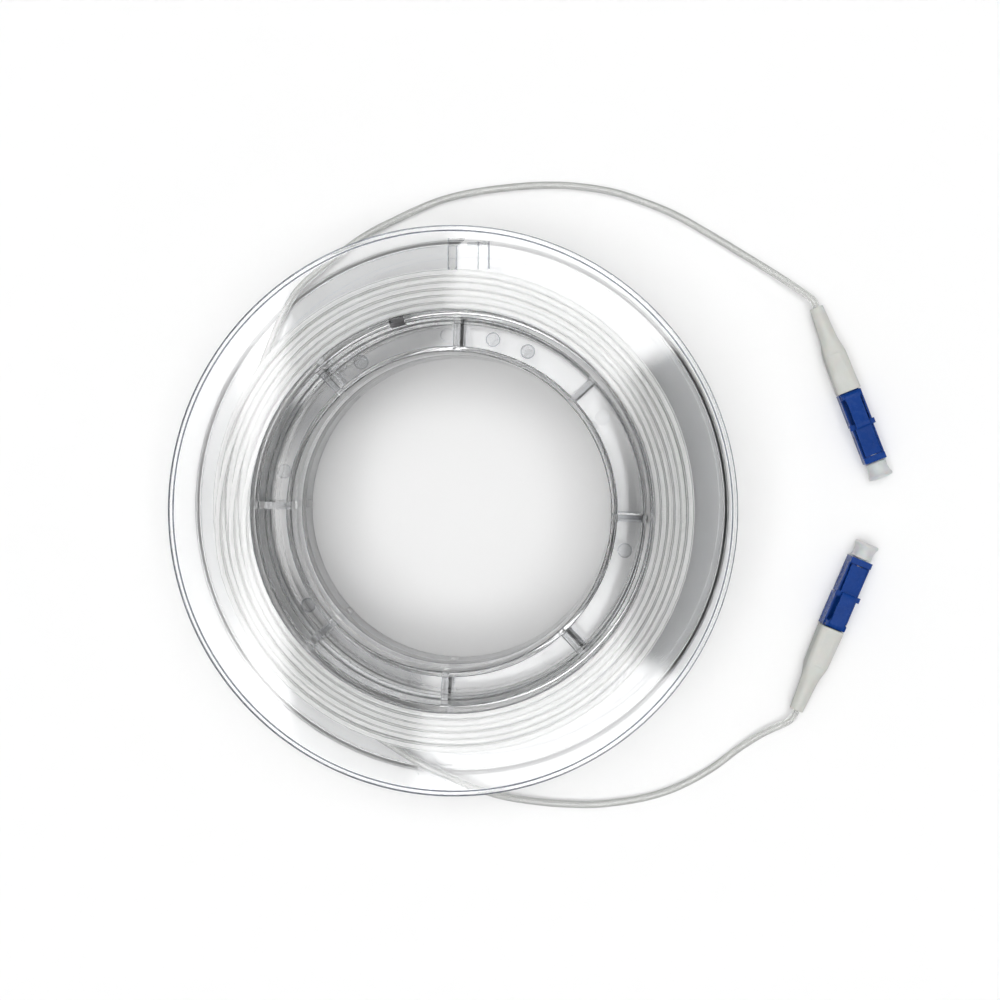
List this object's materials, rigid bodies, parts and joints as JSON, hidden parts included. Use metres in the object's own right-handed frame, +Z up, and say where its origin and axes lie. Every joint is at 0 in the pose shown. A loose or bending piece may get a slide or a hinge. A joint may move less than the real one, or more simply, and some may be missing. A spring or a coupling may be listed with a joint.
{
  "type": "fibre optic patch cord on spool",
  "caption": "Translucent fibre optic patch cord wound on a clear flanged spool, with a booted LC plug and a dust cap on each free tail.",
  "frame": {"origin": "middle of the spool's underside, on the surface the spool lies on", "axes": "+Z up along the spool's axis, +X towards the side where both plugs lie, +Y towards plug a"},
  "size_m": [0.195, 0.1757, 0.036],
  "materials": {
    "spool_plastic": "clear polished injection-moulded polystyrene",
    "cord_jacket": "translucent white soft jacket",
    "boot_plastic": "pale warm grey soft moulding",
    "plug_blue": "satin blue moulding",
    "ferrule_ceramic": "polished white ceramic",
    "cap_plastic": "frosted translucent moulding",
    "clear_tape": "clear adhesive film"
  },
  "bodies": {
    "spooled_cord": {"spool_lower_half": "spool_plastic", "spool_upper_half": "spool_plastic", "cable_winding": "cord_jacket", "tail_cord_a": "cord_jacket", "tail_cord_b": "cord_jacket", "tape_strip": "clear_tape", "boot_a": "boot_plastic", "boot_b": "boot_plastic", "rear_body_a": "plug_blue", "rear_body_b": "plug_blue", "plug_frame_a": "plug_blue", "plug_frame_b": "plug_blue", "ferrule_a": "ferrule_ceramic", "ferrule_b": "ferrule_ceramic"},
    "cap_a": {"dust_cap_a": "cap_plastic"},
    "cap_b": {"dust_cap_b": "cap_plastic"}
  },
  "joints": [
    {"name": "cap_a_pull", "type": "slide", "parent": "spooled_cord", "child": "cap_a", "axis": [0.3608, -0.9326, 0], "range_m": [0, 0.006]},
    {"name": "cap_b_pull", "type": "slide", "parent": "spooled_cord", "child": "cap_b", "axis": [0.3859, 0.9225, 0], "range_m": [0, 0.006]}
  ]
}
